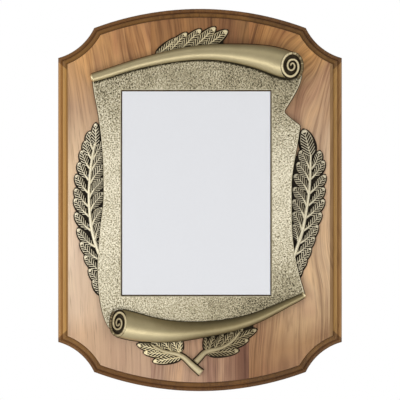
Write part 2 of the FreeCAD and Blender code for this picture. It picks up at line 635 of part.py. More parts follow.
# ---------------------------------------------------------------- assembly
def main():
    os.makedirs(OUT, exist_ok=True)
    for name, shape in staves(board()).items():
        save(name, shape)

    rolls = [wound_roll(TOP_ROLL, TOP_WINDING), wound_roll(BOTTOM_ROLL, BOTTOM_WINDING)]
    scroll_solids = [sheet()] + rolls
    rooms = []
    for name, (shape, room) in laurel_castings(scroll_solids).items():
        save(name, shape)
        rooms += room
    save("scroll_frame", scroll_frame(scroll_solids, rooms))

    save("engraving_plate", engraving_plate())
    save("plate_tape", plate_tape())
    fastened = {
        "scroll": (SCROLL_SCREW, SCROLL_SCREWS),
        "laurel": (LAUREL_SCREW, sum(LAUREL_SCREWS.values(), [])),
    }
    for kind, (size, places) in fastened.items():
        save(kind + "_screws", Part.makeCompound([machine_screw(p, size) for p in places]))
        save(kind + "_washers", Part.makeCompound([washer(p, size) for p in places]))
    save("keyhole_hanger", keyhole_hanger())
    save("hanger_screws", Part.makeCompound([hanger_screw(p) for p in hanger_screw_places()]))


main()
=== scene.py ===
import math

import bpy
import numpy as np
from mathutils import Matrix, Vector, geometry


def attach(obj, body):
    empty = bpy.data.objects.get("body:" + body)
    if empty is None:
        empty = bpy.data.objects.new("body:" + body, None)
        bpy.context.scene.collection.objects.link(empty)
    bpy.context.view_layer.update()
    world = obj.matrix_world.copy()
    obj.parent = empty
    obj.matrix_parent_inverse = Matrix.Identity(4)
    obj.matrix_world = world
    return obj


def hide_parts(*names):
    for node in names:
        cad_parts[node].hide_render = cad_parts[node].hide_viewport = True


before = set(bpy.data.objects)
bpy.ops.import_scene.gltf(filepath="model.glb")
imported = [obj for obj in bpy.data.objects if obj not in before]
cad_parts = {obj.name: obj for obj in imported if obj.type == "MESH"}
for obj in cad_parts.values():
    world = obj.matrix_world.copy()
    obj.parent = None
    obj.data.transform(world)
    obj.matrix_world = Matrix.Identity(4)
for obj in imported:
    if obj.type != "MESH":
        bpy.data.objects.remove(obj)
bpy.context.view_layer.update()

# The castings are drawn in the board's own places: (x, z) across the front and h, the height above the
# back face, in millimetres.
MM = 0.001
BOARD_TOP = 19.0
BOARD_HEIGHT = 381.0
SHEET_TOP = 24.0
ROLL_SHOULDER = 23.5
TALLEST = 35.7
RNG = np.random.default_rng(7)
NOISE_SEED = 1000
NOISE_CELLS = 256
NOISE_ORIGIN = (57.3, 91.7)


# ---------------------------------------------------------------- numbers
def spline(points, count):
    """count points evenly spread along a smooth curve. Columns after the first two follow along."""
    p = np.asarray(points, float)
    t = np.r_[0, np.cumsum(np.linalg.norm(np.diff(p[:, :2], axis=0), axis=1))]
    n, gap = len(t), np.diff(t)
    system, right = np.eye(n), np.zeros_like(p)
    for i in range(1, n - 1):
        system[i, i - 1:i + 2] = gap[i - 1], 2 * (gap[i - 1] + gap[i]), gap[i]
        right[i] = 6 * ((p[i + 1] - p[i]) / gap[i] - (p[i] - p[i - 1]) / gap[i - 1])
    m = np.linalg.solve(system, right)
    at = np.linspace(0, t[-1], count)
    i = np.clip(np.searchsorted(t, at, side="right") - 1, 0, n - 2)
    a, b, g = (t[i + 1] - at)[:, None], (at - t[i])[:, None], gap[i][:, None]
    bent = (m[i] * a ** 3 + m[i + 1] * b ** 3) / (6 * g)
    return bent + (p[i] / g - m[i] * g / 6) * a + (p[i + 1] / g - m[i + 1] * g / 6) * b


def headings(path):
    """Unit directions along a path of (x, z) points, and the unit normals to their left."""
    d = np.gradient(path[:, :2], axis=0)
    d /= np.linalg.norm(d, axis=1, keepdims=True) + 1e-9
    return d, np.stack([-d[:, 1], d[:, 0]], 1)


def smoothstep(low, high, x):
    t = np.clip((x - low) / (high - low), 0, 1)
    return t * t * (3 - 2 * t)


def bell(x, centre, width):
    return np.exp(-((x - centre) / width) ** 2)


def noise(x, z, size, seed=0):
    """Smooth gradient noise, about -1 to 1, with features of that size in millimetres."""
    table = np.random.default_rng(NOISE_SEED + seed)
    angle = table.uniform(0, 2 * math.pi, (NOISE_CELLS, NOISE_CELLS))
    u, v = np.asarray(x, float) / size + NOISE_ORIGIN[0], np.asarray(z, float) / size + NOISE_ORIGIN[1]
    i, j = np.floor(u).astype(int), np.floor(v).astype(int)
    fu, fv = u - i, v - j

    def corner(a, b):
        g = angle[(i + a) % NOISE_CELLS, (j + b) % NOISE_CELLS]
        return np.cos(g) * (fu - a) + np.sin(g) * (fv - b)

    su, sv = fu ** 3 * (fu * (6 * fu - 15) + 10), fv ** 3 * (fv * (6 * fv - 15) + 10)
    low = corner(0, 0) * (1 - su) + corner(1, 0) * su
    high = corner(0, 1) * (1 - su) + corner(1, 1) * su
    return 1.5 * (low * (1 - sv) + high * sv)


def hammer(x, z):
    """The pebbled texture of the parchment: 0 in the pits, 1 on the tops."""
    warp_x = x + 0.5 * noise(x, z, 2.3, 3)
    warp_z = z + 0.5 * noise(x, z, 2.3, 4)
    fine = noise(warp_x, warp_z, 1.0, 1)
    broad = noise(warp_x, warp_z, 2.0, 2)
    return smoothstep(-0.7, 0.5, 0.85 * fine + 0.25 * broad)


def with_height(places, h):
    """(x, z) places with a height, as points."""
    return np.concatenate([places, np.broadcast_to(np.asarray(h, float), places.shape[:-1])[..., None]], -1)


def inside(places, outline):
    """Which places lie inside a closed outline."""
    x, z = places[:, 0][:, None], places[:, 1][:, None]
    found = np.zeros(len(places), bool)
    a, b = outline, np.roll(outline, -1, 0)
    for k in range(0, len(a), 200):
        p, q = a[k:k + 200], b[k:k + 200]
        crosses = (p[:, 1] > z) != (q[:, 1] > z)
        rise = np.where(q[:, 1] == p[:, 1], 1e-9, q[:, 1] - p[:, 1])
        at = p[:, 0] + (z - p[:, 1]) * (q[:, 0] - p[:, 0]) / rise
        found ^= ((crosses & (x < at)).sum(1) % 2).astype(bool)
    return found


def clearance(places, outline):
    """Distance from each place to the nearest point of an outline."""
    best = np.full(len(places), 1e9)
    for k in range(0, len(outline), 200):
        d = places[:, None, :] - outline[None, k:k + 200, :]
        best = np.minimum(best, (d ** 2).sum(2).min(1))
    return np.sqrt(best)


def evenly(points, gap=0.9):
    """An open polyline resampled at an even gap, without its last point."""
    p = np.asarray(points, float)
    t = np.r_[0, np.cumsum(np.linalg.norm(np.diff(p, axis=0), axis=1))]
    at = np.linspace(0, t[-1], max(int(t[-1] / gap), 2) + 1)[:-1]
    return np.stack([np.interp(at, t, p[:, 0]), np.interp(at, t, p[:, 1])], 1)


# ---------------------------------------------------------------- meshes
class Relief:
    """Gathers the surfaces of one casting. Its brightness is 0 in dark hollows and 1 on bright ridges, with
    painted shade and painted highlights in places, and polish scales it. finish is the material slot of what
    is added next."""

    def __init__(self, polish=1.0):
        self.points, self.wear, self.faces, self.slots = [], [], [], []
        self.count, self.finish, self.polish = 0, 0, polish

    def add(self, points, wear, faces):
        points = np.asarray(points, float).reshape(-1, 3)
        faces = [np.asarray(f) + self.count for f in faces]
        self.points.append(points)
        wear = np.asarray(wear, float).ravel() * self.polish
        self.wear.append(np.broadcast_to(wear, (len(points),)))
        self.faces += faces
        self.slots += [self.finish] * sum(len(f) for f in faces)
        self.count += len(points)

    def grid(self, points, wear, closed=False):
        """A surface from rows of points, shape (n, m, 3), turned so that it faces the viewer."""
        n, m = points.shape[:2]
        wear = np.broadcast_to(wear, (n, m))
        index = np.arange(n * m).reshape(n, m)
        if closed:
            index = np.concatenate([index, index[:1]], 0)
        quads = np.stack([index[:-1, :-1], index[1:, :-1], index[1:, 1:], index[:-1, 1:]], -1).reshape(-1, 4)
        flat = points.reshape(-1, 3)
        a, b = flat[quads[:, 2]] - flat[quads[:, 0]], flat[quads[:, 3]] - flat[quads[:, 1]]
        facing = (a[:, 0] * b[:, 1] - a[:, 1] * b[:, 0]).sum()
        if facing < 0:
            quads = quads[:, ::-1]
        self.add(flat, wear, [quads])

    def build(self, name, *materials):
        points = np.concatenate(self.points)
        vertices = np.stack([points[:, 0], -points[:, 2], points[:, 1]], 1) * MM
        faces = [row.tolist() for block in self.faces if len(block) for row in block]
        mesh = bpy.data.meshes.new(name + "_relief")
        mesh.from_pydata(vertices.tolist(), [], faces)
        attribute = mesh.attributes.new("wear", "FLOAT", "POINT")
        attribute.data.foreach_set("value", np.clip(np.concatenate(self.wear), 0, 1).astype(np.float32))
        mesh.shade_smooth()
        for material in materials:
            mesh.materials.append(material)
        mesh.polygons.foreach_set("material_index", self.slots)
        mesh.validate()
        piece = bpy.data.objects.new(name + "_relief", mesh)
        bpy.context.scene.collection.objects.link(piece)
        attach(piece, "root")
        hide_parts(name)


def strip(path, across, half, side):
    """Rows of places across a path: shares of its half width to each side."""
    return path[:, None, :] + (across * half)[..., None] * side[:, None, :]


def shadow_rim(relief, path, half):
    """A low dark strip on the board round a leaf, stem or roll: a painted contact shadow."""
    _, side = headings(path)
    across = np.array([-1, -1, -0.9, 0.9, 1, 1])[None, :]
    height = BOARD_TOP + np.array([0, 0.7, 1.0, 1.0, 0.7, 0])[None, :] * np.ones((len(path), 1))
    height[-1] = BOARD_TOP
    relief.grid(with_height(strip(path, across, half[:, None], side), height), 0.0)


def stem(relief, points, widths, top, low=BOARD_TOP, shine=1.0):
    """A half-round stem along points, tapering between the two widths."""
    n = int(np.linalg.norm(np.diff(np.asarray(points), axis=0), axis=1).sum() / 0.6) + 4
    path = spline(points, n)
    _, side = headings(path)
    half = np.linspace(widths[0], widths[1], n)[:, None] / 2
    a = np.linspace(0, math.pi, 13)[None, :]
    round_top = np.sin(a) ** 0.8
    height = low + (top - low) * round_top
    cap = np.minimum(1, np.minimum(np.arange(n) + 0.3, np.arange(n)[::-1] + 0.3) / 2.5)[:, None]
    places = strip(path, np.cos(a), half, side)
    wear = shine * smoothstep(0.30, 0.75, round_top)
    relief.grid(with_height(places, low + (height - low) * cap ** 0.5), wear)
    # A painted contact shadow on the board round the stem.
    shadow_rim(relief, path, half[:, 0] + 0.6)


def ground(relief, outline, h):
    """A dark flat plate with upright sides, from the board up to h."""
    outline = np.asarray(outline, float)
    if (outline[:, 0] * np.roll(outline[:, 1], -1) - outline[:, 1] * np.roll(outline[:, 0], -1)).sum() < 0:
        outline = outline[::-1]
    n = len(outline)
    _, _, faces, *_ = geometry.delaunay_2d_cdt([Vector(p) for p in outline], [], [list(range(n))], 1, 1e-6)
    relief.add(with_height(outline, h), 0.0, [np.array(faces)])
    ring = np.stack([with_height(outline, h), with_height(outline, BOARD_TOP)], 1)
    index = np.arange(2 * n).reshape(n, 2)
    beside = np.roll(index, -1, 0)
    relief.add(ring, 0.0, [np.stack([index[:, 0], index[:, 1], beside[:, 1], beside[:, 0]], 1)])


# ---------------------------------------------------------------- laurel
LEAF_ROW = 0.3
LEAF_COLUMNS = 27


def leaf(relief, base, tip, width, low=BOARD_TOP, rise=2.6, vein=2.6, heading=None, petiole=0.0, swing=0.4,
         slant=1.1, rib=(1.6, 0.5), rib_length=0.55, stagger=0.0, midrib=0.35, fullness=0.85):
    """A plump leaf with herringbone veins on a rib. It leaves base along heading and bends over to tip.

    vein is the spacing of the veins, slant their lean along the leaf and stagger the shift between its
    halves; petiole is the share of its length before the blade."""
    base, tip = np.array(base, float), np.array(tip, float)
    span = np.linalg.norm(tip - base)
    heading = (tip - base) / span if heading is None else np.array(heading, float)
    bend = base + heading * span * swing

    def middle(s):
        return (1 - s) ** 2 * base + 2 * s * (1 - s) * bend + s ** 2 * tip

    blade = np.linspace(0, 1, int(span * (1 - petiole) / LEAF_ROW) + 8)[:, None]
    s = petiole + (1 - petiole) * blade
    mid = middle(s)
    _, side = headings(mid)
    shape = blade ** fullness
    half = width / 2 * np.clip(4 * shape * (1 - shape), 0, 1) ** 0.55 + 0.02
    t = np.linspace(-1, 1, LEAF_COLUMNS)[None, :]
    edge = np.abs(t)
    off = np.abs(t * half)
    dome = np.sqrt(np.clip(1 - edge ** 3, 0, 1)) * np.sqrt(np.clip(half / (0.35 * width), 0, 1))

    inner = 1 - smoothstep(0.76, 0.88, edge)
    ridge = 0.5 + 0.5 * np.cos(2 * math.pi * ((s * span - off * slant) / vein + stagger * (t > 0)))
    spine = bell(off, 0, midrib) * (1 - smoothstep(0.75, 0.9, blade))
    rim = smoothstep(0.68, 0.78, edge) * (1 - smoothstep(0.84, 0.95, edge)) * smoothstep(0.45, 0.7, blade)
    tip_rim = smoothstep(0.86, 0.91, blade) * (1 - smoothstep(0.97, 1.0, blade))
    tip_rim = tip_rim * (1 - smoothstep(0.8, 0.99, edge))
    wear = np.maximum.reduce([smoothstep(0.58, 0.86, ridge) * inner, spine, 0.85 * rim, tip_rim])
    height = low + rise * dome + 0.5 * (np.maximum(ridge * inner, spine) - 0.6) * dome
    height[:, [0, -1]] = BOARD_TOP
    relief.grid(with_height(strip(mid, t, half, side), height), wear)

    onward = (mid[-1:] - mid[-6:-5]) / np.linalg.norm(mid[-1] - mid[-6])
    shadow_margin = 0.85 * smoothstep(0, 0.2, np.append(blade[:, 0], 1.0))
    beyond = np.concatenate([mid, mid[-1:] + 0.9 * onward])
    # A painted contact shadow on the board round the leaf and past its tip.
    shadow_rim(relief, beyond, np.concatenate([half[:, 0], [0.3]]) + shadow_margin)
    if rib[0] > 0:
        stem(relief, middle(np.linspace(0, rib_length, 7)[:, None]), rib, low + rise + 0.9, low=low)


LEFT_STEM = [(-90, -100), (-93, -80), (-96, -64), (-99.6, -54), (-103.6, -43), (-107, -30), (-109, -15),
             (-110, 0), (-109.4, 20), (-107.2, 40), (-103.8, 57)]
LEFT_OUTER = [(-108.8, 68.2), (-113.2, 59), (-117.2, 49.4), (-120, 37.6), (-122.8, 25.2), (-123.6, 11.6),
              (-124.2, 1.8), (-123.4, -12.4), (-121.2, -28), (-118.4, -41.4), (-114.4, -55), (-109.8, -68),
              (-105.6, -78.4)]
LEFT_INNER = [(-95.5, 58), (-95.0, 47), (-94.4, 34.5), (-94.2, 21), (-94.6, 7), (-95.6, -8), (-97, -22),
              (-97.4, -38)]
LEFT_TERMINAL = ((-103.2, 53), (-103.4, 76.4), 9.6)
RIGHT_STEM = [(81, -98), (88, -74), (95, -50), (100, -36), (103.3, -22), (105.8, -8), (107.6, 4),
              (109.2, 24), (109.6, 46)]
RIGHT_OUTER = [(118.8, 48.8), (122.8, 39), (124, 25), (123, 12.6), (123, 0.6), (120, -12.4), (116.6, -24.4),
               (113.2, -35.8), (109.6, -46.6), (105.2, -56), (100.4, -63.6)]
RIGHT_INNER = [(99, 49), (96, 37), (93, 25), (92, 12), (91.6, 0), (92, -12), (92.6, -24)]
RIGHT_TERMINAL = ((109.8, 43), (102.6, 70.2), 16.0)
# For the leaves towards the scroll and those towards the edge: drop is how far below its tip a leaf
# leaves the stem, and angle how far it turns from the stem there.
INNER_LEAF = {"width": 12.6, "drop": 19.0, "angle": 24, "petiole": 0.16, "vein": 2.7, "stagger": 0.5}
OUTER_LEAF = {"width": 9.8, "drop": 18.5, "angle": 50, "petiole": 0.18, "vein": 3.0, "stagger": 0.5}


def spray(stem_points, outer, inner, terminal, edge_x, polish):
    """An upright laurel spray on a dark ground that reaches from its leaf tips to edge_x."""
    relief = Relief(polish)
    path = spline(stem_points, 240)
    direction, normal = headings(path)
    toward = -np.sign(outer[0][0])
    outline = [(x + toward * 3.4, z - 2.0) for x, z in outer]
    ground(relief, outline + [(edge_x, outer[-1][1]), (edge_x, outer[0][1] - 6)], BOARD_TOP + 1.2)
    for tips, kind in ((inner, INNER_LEAF), (outer, OUTER_LEAF)):
        for i, tip in enumerate(tips[::-1]):
            k = np.argmin(np.abs(path[:, 1] - (tip[1] - kind["drop"])))
            turn = math.radians(kind["angle"]) * np.sign(np.dot(np.array(tip) - path[k], normal[k]))
            heading = math.cos(turn) * direction[k] + math.sin(turn) * normal[k]
            leaf(relief, path[k], tip, kind["width"], low=BOARD_TOP + 0.6 - 0.03 * i, rise=2.2,
                 vein=kind["vein"], heading=heading, petiole=kind["petiole"], swing=0.45, rib=(3.6, 1.0),
                 rib_length=0.52, stagger=kind["stagger"], fullness=0.95)
    leaf(relief, *terminal, low=BOARD_TOP + 0.8, rise=2.6, vein=3.2, rib_length=0.3, midrib=0.6)
    stem(relief, stem_points, (4.9, 2.5), BOARD_TOP + 4.9)
    return relief


SPRIG_GROUND = [(-37, 142), (-36, 146.6), (-26, 152.6), (-14, 160.6), (0, 164.6), (12, 166), (24, 161),
                (22, 148)]
SPRIG_LEAVES = [((-44, 142), (-21.5, 161), 9.4), ((-34, 143), (-13.0, 166), 11.0),
                ((-23, 145), (1, 169.4), 12.0), ((-10, 147), (15.4, 171.4), 12.6),
                ((0, 148), (27.4, 168.2), 12.8)]


def top_sprig():
    """The overlapping leaves above the upper roll."""
    relief = Relief(0.85)
    ground(relief, SPRIG_GROUND, BOARD_TOP + 1.2)
    for base, tip, width in SPRIG_LEAVES:
        leaf(relief, base, tip, width, low=BOARD_TOP + 0.8, rise=2.8, vein=3.3, midrib=0.7, slant=1.3,
             rib=(0, 0), stagger=0.5)
    return relief


FOOT_GROUNDS = [
    [(-60, -143.6), (-52, -151), (-42, -157), (-30, -156.6), (-18, -155.6), (-18, -137), (-60, -137)],
    [(3, -152), (14, -152.4), (32, -150.6), (44, -141), (53, -130), (53, -122), (38, -124), (3, -135)]]
# Leaves of the two branches, by how bright their ridges are.
FOOT_LEAVES = {
    1.08: [((-19.6, -151), (-19.8, -137), 6.4), ((-20.4, -152), (-28.6, -136.6), 8.4),
           ((-27, -151.8), (-38.4, -136.6), 9.2), ((-35, -150), (-49, -137), 9.2),
           ((-35, -149.6), (-62.4, -143.2), 9.4), ((-26, -152.4), (-56, -151.2), 9.8),
           ((-17.4, -155.4), (-46.8, -160.2), 9.6)],
    0.64: [((6.4, -150), (5.6, -136), 6.0), ((8.6, -149.6), (13.4, -134), 8.0),
           ((14, -148.4), (23, -132.6), 8.8),
           ((20, -146.4), (32.4, -130.6), 9.0), ((27, -143), (42.4, -127), 9.0),
           ((30, -140.6), (56.2, -128.2), 9.4), ((19, -147), (48.2, -138.4), 10.0),
           ((6.0, -151.6), (38.6, -149.2), 10.4)]}
FOOT_STEM_UNDER = [(-4.6, -160.8), (0, -156), (5.7, -150.6), (12.6, -148.6), (21.3, -146.2), (32.7, -139.1),
                   (39.8, -129.9)]
FOOT_STEM_OVER = [(1.4, -171.4), (-9, -162.4), (-18.5, -154.4), (-35.5, -149.8), (-48.3, -142.7)]


def foot_stems():
    """The two crossed, cut stems with their leaves below the lower roll."""
    relief = Relief()
    for outline in FOOT_GROUNDS:
        ground(relief, outline, BOARD_TOP + 0.8)
    for polish, leaves in FOOT_LEAVES.items():
        relief.polish = polish
        for base, tip, width in leaves:
            leaf(relief, base, tip, width, low=BOARD_TOP + 0.6, rise=2.5, vein=3.6, midrib=0.6, slant=1.5,
                 rib=(2.4, 0.8), stagger=0.5, fullness=0.95)
    stem(relief, FOOT_STEM_UNDER, (6.8, 2.4), BOARD_TOP + 5.4)
    relief.polish = 0.95
    stem(relief, FOOT_STEM_OVER, (7.6, 2.4), BOARD_TOP + 6.4, shine=0.8)
    return relief


# ---------------------------------------------------------------- scroll
# Stations along each roll, from its thin end at one side: x, z and radius.
TOP_ROLL = [(-107.9, 120.2, 2.9), (-106.6, 120.7, 4.0), (-104.6, 121.4, 4.5), (-100, 122.8, 4.6),
            (-90, 125.9, 4.7), (-70, 132.3, 4.9), (-50, 137.6, 5.4), (-30, 141.9, 6.2), (-10, 145.0, 7.0),
            (10, 146.2, 7.9), (30, 145.4, 9.3), (50, 143.0, 11.4), (70, 138.8, 13.7), (81, 135.4, 14.3),
            (92, 132.2, 13.4)]
BOTTOM_ROLL = [(103.8, -93.5, 2.5), (100, -95.7, 3.0), (90, -100.6, 3.6), (75, -107.8, 4.5),
               (60, -114.7, 5.3), (30, -124.0, 6.8), (0, -128.4, 8.4), (-30, -129.9, 11.1),
               (-50, -128.0, 13.0), (-66, -125.0, 14.4), (-80, -121.6, 14.4)]
# The wound end of each roll: centre, half sizes and lean in degrees of its oval, heights at its inner and
# outer rims, and the side it looks to. dull is where along x the roll's metal darkens, shine its wear, then
# the strength of its painted highlight below the crest and painted shade over its upper side, and polish the
# brightness of the wound end.
TOP_WINDING = {"centre": (90.5, 132.6), "half": (11.3, 13.7), "lean": -8, "heights": (35.6, 27.5), "side": 1,
               "dull": (200, 300), "shine": 0.72, "painted_light_band": 0.45, "polish": 0.84}
BOTTOM_WINDING = {"centre": (-80.4, -121.6), "half": (8.6, 13.5), "lean": -6, "heights": (35.6, 28.5),
                  "side": -1, "dull": (-60, 10), "shine": 0.71, "painted_light_band": 0.75, "polish": 0.70}
# Turning angle in degrees and share of the oval's size along the wound sheet, from its outer end.
WINDING = [(-50, 1.06), (0, 0.94), (90, 0.90), (180, 0.86), (270, 0.80), (360, 0.60), (450, 0.44),
           (540, 0.37), (630, 0.34), (720, 0.26), (810, 0.17), (900, 0.06)]
WINDING_FLOOR = 2.6  # depth of the dark floor behind the wound sheet

SHEET_LEFT = [(-106.3, 117), (-105.6, 110), (-103.8, 100), (-101.8, 90), (-100.2, 80), (-97.8, 60),
              (-96.2, 40), (-95.7, 20), (-95.8, 0), (-98, -20), (-100, -40), (-101.4, -60), (-101.2, -80),
              (-99.8, -95), (-96.5, -112), (-90.5, -126), (-83, -134.7)]
SHEET_CURL = [(100.6, 133), (101, 124), (98.8, 115), (94, 105), (88, 95), (84.8, 90)]
SHEET_NOTCH = [(84.8, 90), (83.9, 87.9), (86.5, 84)]
SHEET_CORNER = [(91, 80), (96.5, 76), (98.8, 74), (99.4, 72), (99, 70)]
SHEET_RIGHT = [(99, 70), (97.5, 60), (94, 40), (91.2, 20), (90.9, 0), (91, -20), (92.2, -40), (95.2, -60),
               (100, -80), (103.4, -91)]
SHEET_TOP_CORNER = (-106.4, 121)
WINDOW = (-78.0, 70.6, -94.8, 108.6)


def oval(winding, size, degrees):
    """Points on a roll's oval, at shares of its size."""
    (x, z), (half_x, half_z) = winding["centre"], winding["half"]
    a, lean = np.radians(degrees), math.radians(winding["lean"])
    u, v = half_x * size * np.cos(a), half_z * size * np.sin(a)
    across = u * math.cos(lean) - v * math.sin(lean)
    up = u * math.sin(lean) + v * math.cos(lean)
    return np.stack([x + across, z + up], 1)


def roll(relief, stations, winding):
    """A tapering roll with a small lip at its thin end, which stops at the rim of its wound end."""
    rows, sides = 260, 37
    path = spline(stations, 600)
    _, side = headings(path)
    rim = oval(winding, 1.0, np.linspace(0, 360, 721))
    angles = np.linspace(0, math.pi, sides)
    columns = []
    for angle in angles:
        places = path[:, :2] + math.cos(angle) * path[:, 2:] * side
        within = inside(places, rim)
        stop = np.argmax(within) if within.any() else len(path) - 1
        t = np.linspace(0, stop, rows)
        station = np.concatenate([places, path[:, 2:]], 1)
        columns.append([np.interp(t, np.arange(len(path)), v) for v in station.T])
    columns = np.transpose(np.array(columns), (2, 0, 1))
    places, radius = columns[..., :2], columns[..., 2]
    lip = 0.5 * bell(np.linspace(0, 1, rows), 0.006, 0.006)[:, None]
    across = angles[None, :]
    crest = np.minimum(ROLL_SHOULDER + 0.9 * radius + lip, TALLEST)
    height = ROLL_SHOULDER + (crest - ROLL_SHOULDER) * np.sin(across)
    height[:, [0, -1]] = BOARD_TOP

    dull = smoothstep(*winding["dull"], places[..., 0])
    # Painted light across the roll: a painted highlight in a band below its crest and painted shade over its
    # upper side.
    upward = np.cos(across) * winding["side"]
    painted_light_band = winding["painted_light_band"] * (0.15 * bell(upward, -0.42, 0.34) - 0.24 * smoothstep(-0.1, 0.9, upward))
    # The roll's sides darken towards their foot: a painted shadow where the roll meets the sheet and the
    # board.
    wear = (winding["shine"] - 0.22 * dull + painted_light_band) * smoothstep(0.10, 0.45, np.sin(across))
    wear[:3] = 0.95
    relief.grid(with_height(places, height), wear)
    # A painted contact shadow on the board round the roll.
    shadow_rim(relief, path[::4, :2], path[::4, 2] + 0.55)
    thin_end = with_height(np.tile(path[0, :2], (sides, 1)), BOARD_TOP)
    relief.grid(np.stack([with_height(places[0], height[0]), thin_end]), 0.9)


def wound_end(relief, winding):
    """The slanting end of a roll: the wound sheet seen on end over a dark floor."""
    high, low = winding["heights"]
    turn = 0 if winding["side"] > 0 else 180

    def face(places):
        dx = (places[..., 0] - winding["centre"][0]) * winding["side"] / winding["half"][0]
        return (high + low) / 2 - (high - low) / 2 * np.clip(dx, -1, 1)

    rim = oval(winding, 1.0, np.linspace(0, 360, 97)[:-1])
    radii = np.linspace(0, 1, 9)[:, None, None]
    floor_places = np.array(winding["centre"]) + radii * (rim - winding["centre"])[None]
    points = with_height(floor_places, face(floor_places) - WINDING_FLOOR)
    relief.grid(np.transpose(points, (1, 0, 2)), 0.18, closed=True)
    wall = np.stack([with_height(rim, face(rim) - WINDING_FLOOR), with_height(rim, BOARD_TOP)], 1)
    relief.grid(wall, 0.1, closed=True)

    degrees, sizes = np.transpose(WINDING)
    steps = np.linspace(degrees[0], degrees[-1], 460)
    path = oval(winding, np.interp(steps, degrees, sizes), steps + turn)
    for _ in range(6):
        path[1:-1] = (path[:-2] + 2 * path[1:-1] + path[2:]) / 4
    _, side = headings(path)
    half = np.interp(steps, [degrees[0], 180, 420, degrees[-1]], [1.5, 1.35, 1.15, 0.9])[:, None]
    across = np.array([-1, -1, -0.8, -0.4, 0, 0.4, 0.8, 1, 1])[None, :]
    drop = np.array([3.0, 0.8, 0.25, 0.03, 0, 0.03, 0.25, 0.8, 3.0])[None, :]
    rounding = np.array([0, 0.3, 0.85, 1, 1, 1, 0.85, 0.3, 0])[None, :]
    places = strip(path, across, half, side)
    shine = np.interp(steps, [degrees[0], 60, 150, 330, degrees[-1]], [0.5, 0.62, 0.98, 0.92, 0.85])
    pebbles = 0.35 * noise(path[:, 0], path[:, 1], 1.3, 5) * np.interp(steps, [0, 90, 150], [1, 1, 0.2])
    wear = rounding * (shine + pebbles)[:, None] * winding["polish"]
    relief.grid(with_height(places, face(places) - drop), wear)


def sheet_outline():
    """The parchment's outer edge, anticlockwise from the top of its left side."""
    top = [(x, z) for x, z, _ in TOP_ROLL][::-1]
    foot = [(x, z) for x, z, _ in BOTTOM_ROLL][::-1]
    top[-1] = SHEET_TOP_CORNER
    return np.concatenate([
        evenly(spline(SHEET_LEFT, 200)), evenly([SHEET_LEFT[-1], foot[0]]), evenly(spline(foot, 200)),
        evenly([foot[-1], SHEET_RIGHT[-1]]), evenly(spline(SHEET_RIGHT[::-1], 200)),
        evenly(spline(SHEET_CORNER[::-1], 30)), evenly([SHEET_CORNER[0], SHEET_NOTCH[-1]]),
        evenly(spline(SHEET_NOTCH[::-1], 12), 0.7), evenly(spline(SHEET_CURL[::-1], 80)),
        evenly([SHEET_CURL[0], top[0]]), evenly(spline(top, 200)), evenly([top[-1], SHEET_LEFT[0]])])


def rings(outline, foot):
    """Rows from the foot of an edge, round its corner, to the flat."""
    d = np.roll(outline, -1, 0) - np.roll(outline, 1, 0)
    d /= np.linalg.norm(d, axis=1, keepdims=True)
    inward = np.stack([-d[:, 1], d[:, 0]], 1)
    rows = [(foot, BOARD_TOP), (foot * 0.3, SHEET_TOP - 1.1), (0.12, SHEET_TOP - 0.45),
            (0.42, SHEET_TOP - 0.08), (0.8, SHEET_TOP)]
    return np.stack([with_height(outline + inward * k, h) for k, h in rows])


def sheet_places(outline, pitch):
    """Scattered places over the parchment, clear of its outline and of the window."""
    columns, rows = np.arange(-110, 108, pitch), np.arange(-138, 150, pitch * 0.87)
    x, z = np.meshgrid(columns, rows)
    x = x + (np.arange(len(rows)) % 2)[:, None] * pitch / 2
    places = np.stack([x.ravel(), z.ravel()], 1)
    places += RNG.uniform(-0.12, 0.12, places.shape) * pitch
    x0, x1, z0, z1 = WINDOW
    x, z = places.T
    near_window = (x > x0 - 1.5) & (x < x1 + 1.5) & (z > z0 - 1.5) & (z < z1 + 1.5)
    places = places[~near_window]
    places = places[inside(places, outline)]
    return places[clearance(places, outline) > pitch * 0.6]


def loop(start, count):
    """The edges of a closed ring of vertices."""
    return [(start + i, start + (i + 1) % count) for i in range(count)]


def sheet_wear(x, z, pebble):
    """Brightness of the parchment: its pebbles, darker towards the top and the foot, and with painted shade
    along the seams beside the rolls.
    """
    seams = []
    for stations, toward in ((TOP_ROLL, -1), (BOTTOM_ROLL, 1)):
        line = spline(stations, 300)
        _, beside = headings(line)
        seams.append(line[:, :2] + beside * line[:, 2:] * toward)
    seam = clearance(np.stack([x, z], 1), np.concatenate(seams))
    # Darker towards the top, the foot and the lower right, and painted shade along the seams where the rolls
    # meet the sheet.
    darkening_and_seam_shade = 0.26 * smoothstep(30, 120, z) + 0.08 * smoothstep(-20, 90, x) * smoothstep(20, 90, z)
    darkening_and_seam_shade = darkening_and_seam_shade + 0.28 * (1 - smoothstep(-120, -10, z)) * smoothstep(-60, 90, x)
    darkening_and_seam_shade = darkening_and_seam_shade + 0.12 * (1 - smoothstep(-120, -30, z)) + 0.45 * (1 - smoothstep(0.4, 2.2, seam))
    calm = 0.20 * smoothstep(60, 110, z) + 0.27 * (1 - smoothstep(-110, -60, z))
    depth = 0.78 - calm * smoothstep(-90, -50, x)
    return 0.734 + depth * (pebble - 0.62) - darkening_and_seam_shade + 0.06 * noise(x, z, 14, 9)


